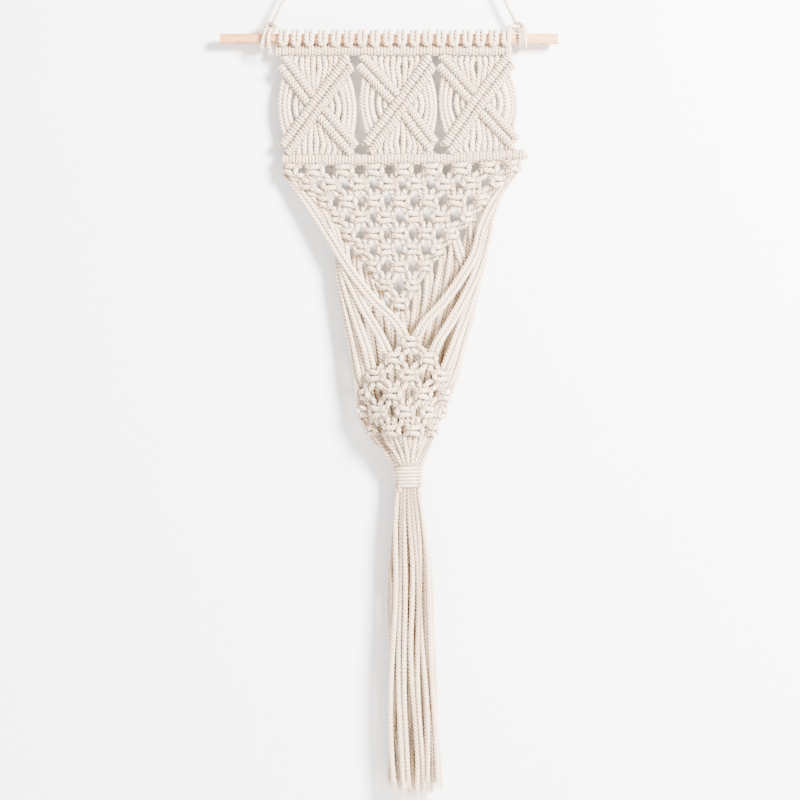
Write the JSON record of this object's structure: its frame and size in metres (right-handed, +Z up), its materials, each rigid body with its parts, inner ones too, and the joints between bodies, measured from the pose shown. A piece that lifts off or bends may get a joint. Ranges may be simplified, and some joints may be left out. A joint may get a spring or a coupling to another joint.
{
  "type": "macrame wall hanging on a wooden dowel",
  "caption": "Knotted ivory cotton wall hanging with a net pocket and a tassel, on a round wooden dowel with a hanging cord.",
  "frame": {"origin": "point where the hanging cord rests on its hook", "axes": "+X to the viewer's right along the dowel, -Y towards the viewer, +Z up"},
  "size_m": [0.338, 0.0452, 1.0141],
  "materials": {
    "cotton": "matte twisted cotton cord",
    "hanging_cotton": "matte twisted cotton cord",
    "wood": "bare sanded beech"
  },
  "bodies": {
    "root": {"dowel": "wood", "hanger_cord": "hanging_cotton", "back_panel": "cotton", "pocket_front": "cotton", "tassel": "cotton"}
  },
  "joints": []
}
